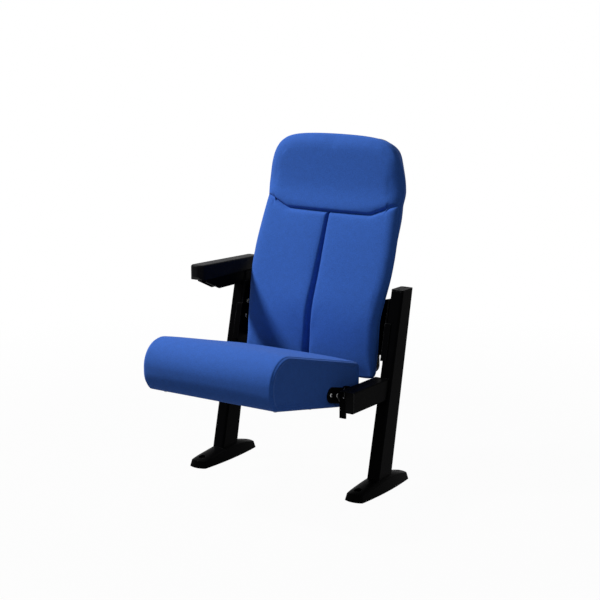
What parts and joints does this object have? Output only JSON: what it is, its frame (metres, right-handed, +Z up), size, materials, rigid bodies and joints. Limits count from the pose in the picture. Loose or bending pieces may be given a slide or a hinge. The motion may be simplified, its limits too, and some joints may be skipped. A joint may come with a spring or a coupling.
{
  "type": "tip up auditorium seat",
  "caption": "Tip-up auditorium seat for one place in a row: upholstered high back and hinged seat on a black steel side frame with cast feet and an armrest on one side.",
  "frame": {"origin": "on the floor, in the middle of the four floor holes", "axes": "+Z up; the sitter faces -Y; +X is the sitter's left, so the armrest at -X is at the sitter's right hand"},
  "size_m": [0.6312, 0.7418, 1],
  "materials": {
    "foot_casting": "semi-gloss black powder coat on a cast foot",
    "frame_paint": "semi-gloss black powder coat",
    "cap_plastic": "satin black",
    "armrest_plastic": "fine grained black",
    "zinc_fasteners": "bright zinc",
    "pin_steel": "ground steel",
    "spring_steel": "oiled spring wire",
    "stop_rubber": "matte black",
    "bush_nylon": "natural nylon",
    "blue_fabric": "fine woven blue upholstery cloth over foam",
    "plywood": "raw birch plywood and hardwood",
    "shell_plastic": "fine grained black",
    "cover_plastic": "satin black"
  },
  "bodies": {
    "frame": {"left_foot": "foot_casting", "right_foot": "foot_casting", "left_upright": "frame_paint", "right_upright": "frame_paint", "left_top_plate": "frame_paint", "right_top_plate": "frame_paint", "left_seat_arm": "frame_paint", "right_seat_arm": "frame_paint", "left_arm_nose_cap": "cap_plastic", "right_arm_nose_cap": "cap_plastic", "armrest_pad": "armrest_plastic", "armrest_brace": "frame_paint", "armrest_brace_bolts": "zinc_fasteners", "armrest_pad_screws": "zinc_fasteners", "back_cushion": "blue_fabric", "back_board": "plywood", "back_shell": "shell_plastic", "back_shell_screws": "zinc_fasteners", "left_back_bracket": "frame_paint", "right_back_bracket": "frame_paint", "back_bracket_bolts": "zinc_fasteners", "left_pivot_pin": "frame_paint", "right_pivot_pin": "frame_paint", "left_stop_pin": "pin_steel", "right_stop_pin": "pin_steel", "left_stop_sleeve": "stop_rubber", "right_stop_sleeve": "stop_rubber", "left_return_spring": "spring_steel", "right_return_spring": "spring_steel", "left_spring_anchor": "frame_paint", "right_spring_anchor": "frame_paint"},
    "seat": {"seat_cushion": "blue_fabric", "seat_board": "plywood", "left_seat_cheek": "plywood", "right_seat_cheek": "plywood", "seat_underside_cover": "cover_plastic", "seat_cover_screws": "zinc_fasteners", "left_hinge_plate": "frame_paint", "right_hinge_plate": "frame_paint", "left_hinge_screws": "zinc_fasteners", "right_hinge_screws": "zinc_fasteners", "left_hinge_bush": "bush_nylon", "right_hinge_bush": "bush_nylon", "left_hinge_hub": "frame_paint", "right_hinge_hub": "frame_paint", "left_stop_disc": "frame_paint", "right_stop_disc": "frame_paint"}
  },
  "joints": [
    {"name": "seat_tip", "type": "hinge", "parent": "frame", "child": "seat", "pos_m": [0, -0.1, 0.292], "axis": [-1, 0, 0], "range_deg": [0, 78], "stiffness_Nm_per_rad": 2, "springref_deg": 78}
  ]
}
